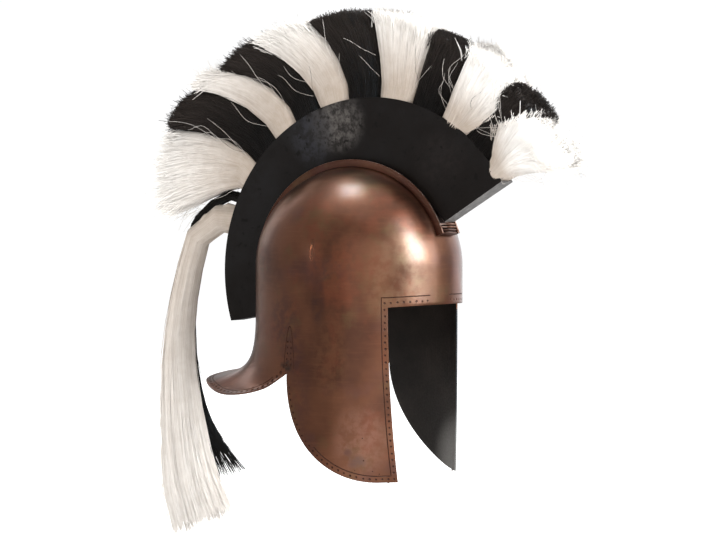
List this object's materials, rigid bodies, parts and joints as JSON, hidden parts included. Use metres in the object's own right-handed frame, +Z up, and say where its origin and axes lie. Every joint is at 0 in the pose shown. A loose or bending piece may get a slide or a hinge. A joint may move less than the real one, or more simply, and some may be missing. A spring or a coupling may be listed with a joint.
{
  "type": "greek helmet",
  "caption": "Open-faced helmet with fixed pointed cheek guards, a flared neck guard and a tall crest box over the crown holding a fan of black and white hair with two long tails.",
  "frame": {"origin": "inside of the crown, where the wearer's head meets it", "axes": "front faces -Y, the wearer's left is +X, up is +Z"},
  "size_m": [0.216, 0.5129, 0.5793],
  "materials": {
    "antique_copper": "antiqued copper plate over steel, satin, painted black inside",
    "black_steel": "blackened sheet steel, satin, with a worn grey patch and a bare grey front end",
    "white_hair": "coarse white horsehair",
    "black_hair": "coarse black horsehair"
  },
  "bodies": {
    "root": {"helmet_shell": "antique_copper", "crest_channel": "antique_copper", "crest_box": "black_steel", "plume_tuft_01": "white_hair", "plume_tuft_02": "black_hair", "plume_tuft_03": "white_hair", "plume_tuft_04": "black_hair", "plume_tuft_05": "white_hair", "plume_tuft_06": "black_hair", "plume_tuft_07": "white_hair", "plume_tuft_08": "black_hair", "plume_tuft_09": "white_hair", "plume_tuft_10": "black_hair", "plume_tuft_11": "white_hair", "tail_black": "black_hair", "tail_white": "white_hair"}
  },
  "joints": []
}
